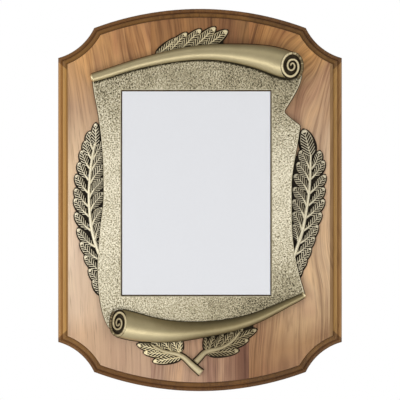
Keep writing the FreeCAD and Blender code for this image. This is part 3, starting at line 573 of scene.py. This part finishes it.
def sheet(relief):
    """The parchment: a pebbled sheet with rounded edges and a window."""
    x0, x1, z0, z1 = WINDOW
    hole = evenly([(x0, z0), (x0, z1), (x1, z1), (x1, z0), (x0, z0)])
    edge_rings, hole_rings = rings(sheet_outline(), -0.6), rings(hole, 0.0)
    hole_rings[0, :, 2] = SHEET_TOP - 2.4
    # The foot of each edge row is dark: a painted contact shadow round the sheet's outer edge and inside the
    # window.
    for ring, wear in ((edge_rings, [0.0, 0.0, 0.15, 0.6, 0.7]), (hole_rings, [0.0, 0.0, 0.2, 0.5, 0.55])):
        relief.grid(np.transpose(ring, (1, 0, 2)), np.array(wear)[None, :], closed=True)

    a, b = edge_rings[-1, :, :2], hole_rings[-1, :, :2]
    places = np.concatenate([a, b, sheet_places(a, 0.62)])
    edges = loop(0, len(a)) + loop(len(a), len(b))
    verts, _, faces, *_ = geometry.delaunay_2d_cdt([Vector(p) for p in places], edges, [], 0, 1e-5)
    verts, faces = np.array([tuple(v) for v in verts]), np.array(faces)
    centre = verts[faces].mean(1)
    in_window = ((centre > b.min(0)) & (centre < b.max(0))).all(1)
    faces = faces[inside(centre, a) & ~in_window]

    x, z = verts.T
    flat = np.arange(len(verts)) >= len(a) + len(b)
    pebble = hammer(x, z)
    height = SHEET_TOP + flat * (0.42 * (pebble - 0.55)) + 0.25 * flat * noise(x, z, 22, 8)
    relief.add(with_height(verts, height), np.where(flat, sheet_wear(x, z, pebble), 0.6), [faces])


def scroll():
    """The parchment, its two rolls and their wound ends, in three finishes."""
    relief = Relief()
    sheet(relief)
    relief.finish = 1
    roll(relief, TOP_ROLL, TOP_WINDING)
    roll(relief, BOTTOM_ROLL, BOTTOM_WINDING)
    relief.finish = 2
    wound_end(relief, TOP_WINDING)
    wound_end(relief, BOTTOM_WINDING)
    return relief


# ---------------------------------------------------------------- shader helpers
def nodes_of(name):
    material = bpy.data.materials.new(name)
    material.use_nodes = True
    tree = material.node_tree
    return material, tree, tree.nodes["Principled BSDF"]


def ramp(tree, fac, stops):
    node = tree.nodes.new("ShaderNodeValToRGB")
    tree.links.new(fac, node.inputs[0])
    elements = node.color_ramp.elements
    while len(elements) < len(stops):
        elements.new(0.5)
    for element, (at, colour) in zip(elements, stops):
        element.position = at
        element.color = (*colour, 1)
    return node.outputs[0]


def maths(tree, operation, a, b=None, c=None, clamp=False):
    node = tree.nodes.new("ShaderNodeMath")
    node.operation, node.use_clamp = operation, clamp
    for i, value in enumerate((a, b, c)):
        if value is None:
            continue
        if isinstance(value, bpy.types.NodeSocket):
            tree.links.new(value, node.inputs[i])
        else:
            node.inputs[i].default_value = value
    return node.outputs[0]


def onset(tree, value, start, steepness):
    """0 until value reaches start, then rising to 1 with that steepness."""
    return maths(tree, "MULTIPLY", maths(tree, "SUBTRACT", value, start), steepness, clamp=True)


def joined(tree, x, y, z=None):
    """A vector from its parts."""
    node = tree.nodes.new("ShaderNodeCombineXYZ")
    for i, value in enumerate((x, y, z)):
        if value is not None:
            tree.links.new(value, node.inputs[i])
    return node.outputs[0]


def mix(tree, fac, a, b, blend="MIX"):
    node = tree.nodes.new("ShaderNodeMix")
    node.data_type, node.blend_type = "RGBA", blend
    for i, value in ((0, fac), (6, a), (7, b)):
        if isinstance(value, bpy.types.NodeSocket):
            tree.links.new(value, node.inputs[i])
        else:
            node.inputs[i].default_value = value if i == 0 else (*value, 1)
    return node.outputs[2]


def noise_node(tree, vector, scale, detail, rough):
    node = tree.nodes.new("ShaderNodeTexNoise")
    tree.links.new(vector, node.inputs["Vector"])
    node.inputs["Scale"].default_value = scale
    node.inputs["Detail"].default_value = detail
    node.inputs["Roughness"].default_value = rough
    return node.outputs["Fac"]


def places_of(tree):
    return tree.nodes.new("ShaderNodeTexCoord").outputs["Object"]


def mapped(tree, vector, scale=(1, 1, 1), offset=(0, 0, 0)):
    mapping = tree.nodes.new("ShaderNodeMapping")
    tree.links.new(vector, mapping.inputs["Vector"])
    mapping.inputs["Scale"].default_value = scale
    mapping.inputs["Location"].default_value = offset
    return mapping.outputs[0]


def drifting(tree, scale, offset):
    """Slow noise about 0."""
    slow = noise_node(tree, mapped(tree, places_of(tree), scale, offset), 1.0, 2, 0.5)
    return maths(tree, "SUBTRACT", slow, 0.5)


def bump(tree, height, strength, distance, shader):
    node = tree.nodes.new("ShaderNodeBump")
    node.inputs["Strength"].default_value = strength
    node.inputs["Distance"].default_value = distance
    tree.links.new(height, node.inputs["Height"])
    tree.links.new(node.outputs[0], shader.inputs["Normal"])


def linear(colour):
    """An sRGB colour of 0 to 255 as linear light."""
    return tuple(c / 3294.6 if c <= 10 else ((c / 255 + 0.055) / 1.055) ** 2.4 for c in colour)


def tone(*stops):
    """Ramp stops from (place up the board in millimetres, sRGB colour)."""
    return [(z / BOARD_HEIGHT + 0.5, linear(colour)) for z, colour in stops]


# ---------------------------------------------------------------- materials
def antique(name, dark, mid, bright, metallic, rough, cloudy, speckled):
    """Antiqued casting metal: dark patina in the hollows, relieved bright metal on the ridges, and the
    painted shade and painted highlights that the mesh carries.
    """
    material, tree, shader = nodes_of(name)
    attribute = tree.nodes.new("ShaderNodeAttribute")
    attribute.attribute_name = "wear"
    cloud = noise_node(tree, places_of(tree), 90, 4, 0.6)
    speck = noise_node(tree, places_of(tree), 950, 2, 0.5)
    wear = maths(tree, "MULTIPLY_ADD", maths(tree, "SUBTRACT", cloud, 0.5), cloudy, attribute.outputs["Fac"])
    wear = maths(tree, "MULTIPLY_ADD", maths(tree, "SUBTRACT", speck, 0.5), speckled, wear, clamp=True)
    tree.links.new(ramp(tree, wear, [(0.14, dark), (0.5, mid), (0.92, bright)]), shader.inputs["Base Color"])
    shader.inputs["Metallic"].default_value = metallic
    shader.inputs["Specular IOR Level"].default_value = 0.2
    rough_map = tree.nodes.new("ShaderNodeMapRange")
    tree.links.new(wear, rough_map.inputs[0])
    rough_map.inputs[3].default_value = 0.75
    rough_map.inputs[4].default_value = rough
    tree.links.new(rough_map.outputs[0], shader.inputs["Roughness"])
    bump(tree, speck, 0.2, 0.0001, shader)
    return material


def plain(name, colour, metallic, rough, speckle):
    material, tree, shader = nodes_of(name)
    cloud = noise_node(tree, places_of(tree), 300, 3, 0.5)
    value = ramp(tree, cloud, [(0.3, tuple(c * (1 - speckle) for c in colour)), (0.7, colour)])
    tree.links.new(value, shader.inputs["Base Color"])
    shader.inputs["Metallic"].default_value = metallic
    shader.inputs["Roughness"].default_value = rough
    return material


# The wood's places, in metres as the shader sees them.
FAN_START = 0.05
FAN_BEND = -13.0
STRONG_START = 0.07  # the figure is stronger above this height
FIELD = -0.01855  # y of the moulding's upper edge
BOW_CENTRE = 0.1108  # of the arched ends, below the middle
BOW_INNER = 0.284  # the inner edge of their moulding
MITRE_SLOPE = -0.9  # the side moulding meets the scallops where |z| + MITRE_SLOPE |x| is MITRE
MITRE = 0.01013
OFF_BACK = 0.00025  # the dark ends start this far in front of the back face

# What the grain and the cut multiply the wood's colour by.
BANDS = [(0.37, (0.42, 0.36, 0.34)), (0.45, (0.78, 0.73, 0.71)), (0.51, (1.0, 1.0, 1.0)),
         (0.62, (1.26, 1.26, 1.26))]
PATCHES = [(0.34, (0.84, 0.77, 0.82)), (0.5, (1.0, 1.0, 1.0)), (0.66, (1.18, 1.13, 1.02))]
PORE = (0.12, 0.06, 0.03)
HEART_STREAK = (0.50, 0.42, 0.40)
FOOT_END, TOP_END, SCALLOP = (0.31, 0.24, 0.13), (0.40, 0.335, 0.265), (0.47, 0.41, 0.34)

# The colour of the board's edge by the height above its back: a golden-brown stain with painted highlights on
# the beads and the arris and painted shade in the quirks.
MOULDING_STAIN_AND_SHADING = [(0.0, (150, 105, 66)), (10.6, (178, 132, 80)), (12.5, (184, 138, 82)), (12.95, (192, 144, 88)),
            (13.35, (138, 92, 42)), (14.4, (140, 94, 44)), (15.0, (194, 148, 86)), (16.9, (196, 150, 82)),
            (17.15, (136, 92, 40)), (18.35, (142, 98, 46)), (18.5, (168, 130, 86))]
MOULDING_SPAN = 20


def edge_stain_and_shading(tree, x, y, z, shade, contrast, stain):
    """Golden brown by height with painted highlights on the beads and painted shade in the quirks, darker on
    the scallops and at the top and foot.
    """
    stops = [(h / MOULDING_SPAN, linear(colour)) for h, colour in MOULDING_STAIN_AND_SHADING]
    by_height = ramp(tree, maths(tree, "MULTIPLY", y, -1000 / MOULDING_SPAN), stops)
    edge_colour = mix(tree, maths(tree, "MULTIPLY", contrast, 0.8), by_height, shade, "MULTIPLY")
    high, out = maths(tree, "ABSOLUTE", z), maths(tree, "ABSOLUTE", x)
    length = tree.nodes.new("ShaderNodeVectorMath")
    length.operation = "LENGTH"
    tree.links.new(joined(tree, x, maths(tree, "ADD", high, BOW_CENTRE)), length.inputs[0])
    ends = mix(tree, maths(tree, "GREATER_THAN", z, 0.0), FOOT_END, TOP_END)
    darker = mix(tree, onset(tree, length.outputs["Value"], BOW_INNER, 120.0), SCALLOP, ends)
    turned = onset(tree, maths(tree, "MULTIPLY_ADD", out, MITRE_SLOPE, high), MITRE, 1500.0)
    off_back = onset(tree, maths(tree, "MULTIPLY", y, -1.0), OFF_BACK, 4000.0)
    on_edge = maths(tree, "MULTIPLY", off_back, onset(tree, y, FIELD, 5000.0))
    edge_colour = mix(tree, maths(tree, "MULTIPLY", turned, on_edge), edge_colour, darker, "MULTIPLY")
    return mix(tree, 1.0, edge_colour, stain, "MULTIPLY")


def walnut(name, offset, span, near, far, figure, contrast, streak=None, arris=0.1307,
           stain=(0.82, 0.80, 0.73)):
    """Satin walnut with an upright grain.

    near and far are its colours up the board at the two x of span. streak is where x and z darken to
    heartwood, and arris how far out the edge's stain, with its painted highlights and shade, starts on the
    face."""
    material, tree, shader = nodes_of(name)
    split = tree.nodes.new("ShaderNodeSeparateXYZ")
    tree.links.new(places_of(tree), split.inputs[0])
    x, y, z = split.outputs
    drift = drifting(tree, (9, 9, 4), offset)
    up = maths(tree, "MULTIPLY_ADD", z, 1 / (BOARD_HEIGHT * MM), 0.5)
    up = maths(tree, "MULTIPLY_ADD", drift, 0.14, up)
    beside = tree.nodes.new("ShaderNodeMapRange")
    tree.links.new(x, beside.inputs[0])
    beside.inputs[1].default_value, beside.inputs[2].default_value = span[0] * MM, span[1] * MM
    beside = maths(tree, "MULTIPLY_ADD", drift, 0.5, beside.outputs[0], clamp=True)
    base = mix(tree, beside, ramp(tree, up, near), ramp(tree, up, far))

    # The grain runs upright and fans out towards the top.
    rise = maths(tree, "MAXIMUM", maths(tree, "SUBTRACT", z, FAN_START), 0.0)
    fan = maths(tree, "MULTIPLY_ADD", maths(tree, "MULTIPLY", rise, rise), FAN_BEND, 1.0)
    wander = maths(tree, "MULTIPLY", drifting(tree, (11, 11, 3.4), offset), 0.05 * figure)
    grain = joined(tree, maths(tree, "MULTIPLY_ADD", x, fan, wander), y, z)

    def streaks(scale, detail, rough):
        return noise_node(tree, mapped(tree, grain, scale, offset), 1.0, detail, rough)

    bands, fine = streaks((120, 120, 3.4), 5, 0.65), streaks((520, 520, 12), 3, 0.6)
    pores = streaks((1100, 1100, 40), 2, 0.5)
    shade = ramp(tree, maths(tree, "MULTIPLY_ADD", bands, 0.50, maths(tree, "MULTIPLY", fine, 0.50)), BANDS)
    patches = ramp(tree, streaks((52, 52, 15), 3, 0.55), PATCHES)
    strong = maths(tree, "MULTIPLY_ADD", onset(tree, z, STRONG_START, 12.0), 0.7, contrast, clamp=True)
    colour = mix(tree, strong, mix(tree, strong, base, shade, "MULTIPLY"), patches, "MULTIPLY")
    colour = mix(tree, onset(tree, pores, 0.57, 2.4), colour, PORE)
    if streak:
        below = onset(tree, maths(tree, "MULTIPLY", z, -1.0), -streak[1], 30.0)
        heart = maths(tree, "MULTIPLY", onset(tree, x, streak[0], 90.0), below)
        colour = mix(tree, heart, colour, HEART_STREAK, "MULTIPLY")

    # The edge takes its stain along with the painted highlights and shade of the moulding.
    beyond = onset(tree, maths(tree, "ABSOLUTE", x), arris, 3000.0)
    edge = maths(tree, "MAXIMUM", onset(tree, y, FIELD, 5000.0), beyond)
    colour = mix(tree, edge, colour, edge_stain_and_shading(tree, x, y, z, shade, contrast, stain))
    tree.links.new(colour, shader.inputs["Base Color"])
    shader.inputs["Roughness"].default_value = 0.45
    shader.inputs["Specular IOR Level"].default_value = 0.3
    bump(tree, pores, 0.08, 0.0002, shader)
    return material


bronze = antique("antique_bronze", (0.018, 0.014, 0.009), (0.19, 0.155, 0.090), (0.95, 0.87, 0.65),
                 0.45, 0.42, 0.15, 0.15)
olive = antique("antique_olive_bronze", (0.024, 0.017, 0.008), (0.20, 0.15, 0.075), (0.86, 0.75, 0.47),
                0.45, 0.42, 0.15, 0.15)
parchment = antique("antique_parchment", (0.034, 0.027, 0.013), (0.44, 0.385, 0.25), (0.97, 0.90, 0.71),
                    0.5, 0.45, 0.15, 0.5)
rolled = antique("antique_rolled", (0.02, 0.016, 0.010), (0.25, 0.20, 0.10), (0.77, 0.66, 0.40),
                 0.95, 0.33, 0.10, 0.04)

LEFT_NEAR = tone((-170, (192, 158, 126)), (-137, (201, 167, 135)), (-115, (213, 185, 157)),
                 (-80, (216, 190, 162)), (-48, (222, 196, 170)), (0, (216, 189, 158)), (35, (222, 193, 157)),
                 (75, (202, 171, 139)), (105, (182, 149, 119)), (135, (184, 142, 99)), (165, (190, 144, 92)))
LEFT_FAR = tone((-165, (184, 152, 125)), (-140, (189, 158, 130)), (60, (192, 158, 127)),
                (100, (186, 148, 113)), (135, (188, 144, 98)), (162, (169, 123, 80)))
CENTRE_NEAR = tone((-175, (178, 146, 120)), (-140, (178, 141, 110)), (140, (150, 108, 68)),
                   (175, (145, 102, 62)))
CENTRE_FAR = tone((-175, (160, 122, 94)), (-140, (168, 130, 100)), (140, (136, 97, 60)), (175, (130, 93, 57)))
RIGHT_NEAR = tone((-170, (146, 105, 69)), (-135, (159, 120, 84)), (60, (180, 144, 108)),
                  (120, (168, 126, 84)), (162, (160, 114, 68)))
RIGHT_FAR = tone((-170, (146, 111, 82)), (-137, (152, 118, 83)), (-118, (186, 155, 117)),
                 (-90, (198, 167, 132)), (-45, (200, 171, 139)), (-15, (202, 171, 137)),
                 (30, (200, 171, 139)), (60, (191, 161, 132)), (90, (182, 148, 116)), (120, (178, 142, 106)),
                 (140, (180, 138, 90)), (165, (184, 138, 84)))

# ---------------------------------------------------------------- castings
spray(LEFT_STEM, LEFT_OUTER, LEFT_INNER, LEFT_TERMINAL, -95, 0.88).build("laurel_spray_left", bronze)
spray(RIGHT_STEM, RIGHT_OUTER, RIGHT_INNER, RIGHT_TERMINAL, 90, 0.79).build("laurel_spray_right", bronze)
top_sprig().build("laurel_sprig_top", olive)
foot_stems().build("laurel_stems_bottom", olive)
scroll().build("scroll_frame", parchment, rolled, olive)

# ---------------------------------------------------------------- carried CAD nodes
CARRIED = {
    "board_stave_left": walnut("walnut_left", (3.1, 0.4, 0.2), (-128, -55), LEFT_NEAR, LEFT_FAR, 1.0, 0.27),
    "board_stave_centre": walnut("walnut_centre", (4.7, 1.9, 1.1), (-45, 45), CENTRE_NEAR, CENTRE_FAR,
                                 1.0, 0.9, streak=(0.027, -0.112)),
    "board_stave_right": walnut("walnut_right", (6.4, 2.6, 0.6), (55, 128), RIGHT_NEAR, RIGHT_FAR, 1.6, 0.7,
                                arris=0.1288, stain=(0.66, 0.66, 0.66)),
    "engraving_plate": plain("satin_plate", (0.72, 0.73, 0.76), 0.0, 0.4, 0.01),
    "plate_tape": plain("foam_tape", (0.75, 0.73, 0.68), 0.0, 0.8, 0.1),
    "scroll_screws": plain("zinc_screws", (0.62, 0.60, 0.54), 1.0, 0.35, 0.2),
    "scroll_washers": plain("zinc_washers", (0.66, 0.64, 0.58), 1.0, 0.3, 0.2),
    "laurel_screws": plain("zinc_small_screws", (0.62, 0.60, 0.54), 1.0, 0.35, 0.2),
    "laurel_washers": plain("zinc_small_washers", (0.66, 0.64, 0.58), 1.0, 0.3, 0.2),
    "keyhole_hanger": plain("zinc_hanger", (0.66, 0.65, 0.62), 1.0, 0.38, 0.15),
    "hanger_screws": plain("zinc_hanger_screws", (0.60, 0.58, 0.52), 1.0, 0.35, 0.2),
}
for node, material in CARRIED.items():
    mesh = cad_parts[node].data
    mesh.materials.clear()
    mesh.materials.append(material)

# ---------------------------------------------------------------- stage, light, camera
FLOOR_HALF = 3
FLOOR_Z = -0.75
WORLD_GLOW = 0.40
LENS, SENSOR = 180, 36
VIEW_WIDTH = 0.3969  # metres across the picture at the board's face

corners = [(x * FLOOR_HALF, y * FLOOR_HALF, FLOOR_Z) for x, y in ((-1, -1), (1, -1), (1, 1), (-1, 1))]
floor_mesh = bpy.data.meshes.new("floor")
floor_mesh.from_pydata(corners, [], [(0, 1, 2, 3)])
floor = bpy.data.objects.new("floor", floor_mesh)
bpy.context.scene.collection.objects.link(floor)
floor_mesh.materials.append(plain("pale_floor", (0.85, 0.85, 0.85), 0.0, 0.9, 0.02))

# The backdrop is white to the camera, and a dimmer even glow to everything else.
world = bpy.data.worlds.new("studio")
bpy.context.scene.world = world
world.use_nodes = True
tree = world.node_tree
sky = tree.nodes["Background"]
sky.inputs[0].default_value = (1, 1, 1, 1)
sky.inputs[1].default_value = 1.0
dim = tree.nodes.new("ShaderNodeBackground")
dim.inputs[0].default_value = (1.0, 0.99, 0.97, 1)
dim.inputs[1].default_value = WORLD_GLOW
ray = tree.nodes.new("ShaderNodeLightPath")
blend = tree.nodes.new("ShaderNodeMixShader")
tree.links.new(ray.outputs["Is Camera Ray"], blend.inputs[0])
tree.links.new(dim.outputs[0], blend.inputs[1])
tree.links.new(sky.outputs[0], blend.inputs[2])
tree.links.new(blend.outputs[0], tree.nodes["World Output"].inputs[0])


def softbox(name, place, size, power):
    """A large soft light that looks at the middle of the board."""
    lamp = bpy.data.lights.new(name, "AREA")
    lamp.shape, lamp.size, lamp.size_y, lamp.energy = "RECTANGLE", *size, power
    holder = bpy.data.objects.new(name, lamp)
    bpy.context.scene.collection.objects.link(holder)
    holder.location = place
    holder.rotation_euler = (Vector((0, 0, 0)) - Vector(place)).to_track_quat("-Z", "Y").to_euler()


softbox("key_left", (-1.5, -1.2, 0.1), (0.9, 1.6), 15.6)
softbox("fill_right", (1.5, -1.2, 0.1), (0.9, 1.6), 9.6)
softbox("low", (0.0, -0.95, -0.72), (2.2, 0.42), 6.6)
softbox("top", (0.0, -1.2, 1.3), (1.6, 0.6), 2.5)
softbox("rear", (0.0, 1.6, 1.0), (2.0, 1.4), 14.0)

camera_data = bpy.data.cameras.new("camera")
camera_data.lens, camera_data.sensor_width = LENS, SENSOR
camera = bpy.data.objects.new("camera", camera_data)
bpy.context.scene.collection.objects.link(camera)
camera.location = (0, -VIEW_WIDTH * LENS / SENSOR - BOARD_TOP * MM, 0)
camera.rotation_euler = (math.radians(90), 0, 0)
bpy.context.scene.camera = camera
bpy.context.scene.view_settings.view_transform = "Standard"
